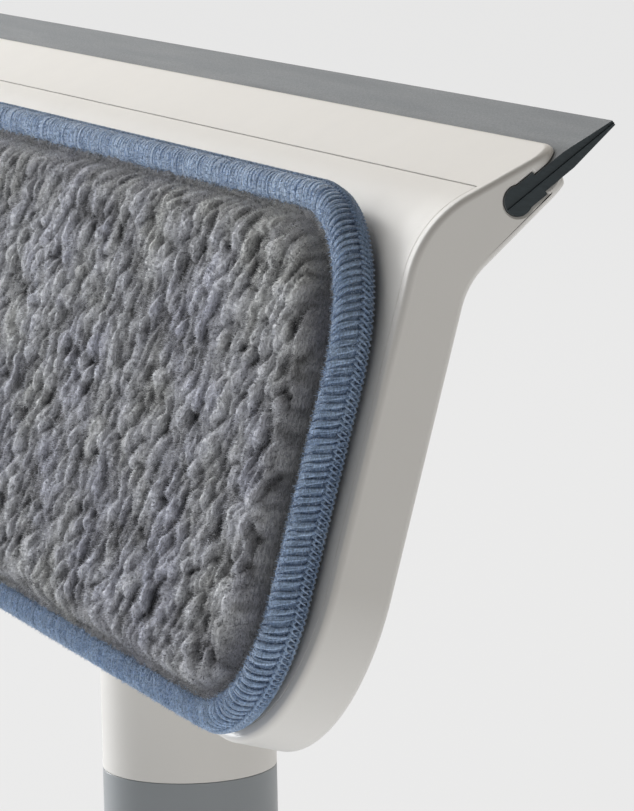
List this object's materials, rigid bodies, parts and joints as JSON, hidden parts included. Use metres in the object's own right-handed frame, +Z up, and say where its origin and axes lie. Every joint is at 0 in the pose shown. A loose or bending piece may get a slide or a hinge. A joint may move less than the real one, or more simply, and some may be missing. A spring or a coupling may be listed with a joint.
{
  "type": "window cleaning squeegee",
  "caption": "Window cleaning squeegee: a rubber blade along a wide white head, a lift-off grey microfibre washing pad on its face, and a round two-tone handle.",
  "frame": {"origin": "middle of the grey grip, on the handle's axis", "axes": "+Z up the handle's axis towards the head, +X along the head, -Y the side the pad faces"},
  "size_m": [0.3, 0.0624, 0.2879],
  "materials": {
    "white_plastic": "satin moulded polypropylene",
    "grey_plastic": "matt",
    "blade_rubber": "matt thermoplastic rubber",
    "blue_yarn": "overlocked polyester yarn",
    "grey_pile": "microfibre pile",
    "pad_core": "foam and loop backing",
    "hook_tape": "nylon hook tape",
    "steel": "zinc plated"
  },
  "bodies": {
    "squeegee": {"head_housing": "white_plastic", "front_panel": "white_plastic", "hook_tape_lower": "hook_tape", "hook_tape_upper": "hook_tape", "neck": "white_plastic", "neck_screw_1": "steel", "neck_screw_2": "steel", "neck_screw_3": "steel", "neck_screw_4": "steel", "handle_core": "white_plastic", "grip_sleeve": "grey_plastic", "end_cap": "grey_plastic", "handle_screw": "steel"},
    "blade": {"rubber_blade": "blade_rubber"},
    "pad": {"pad_backing": "pad_core", "pad_foam": "pad_core", "pad_pile": "grey_pile", "pad_edging": "blue_yarn", "pad_edge_chain": "blue_yarn"}
  },
  "joints": [
    {"name": "blade_slide", "type": "slide", "parent": "squeegee", "child": "blade", "axis": [1, 0, 0], "range_m": [0, 0.3]},
    {"name": "pad_lift", "type": "slide", "parent": "squeegee", "child": "pad", "axis": [0, -0.9622, 0.2723], "range_m": [0, 0.04]}
  ]
}
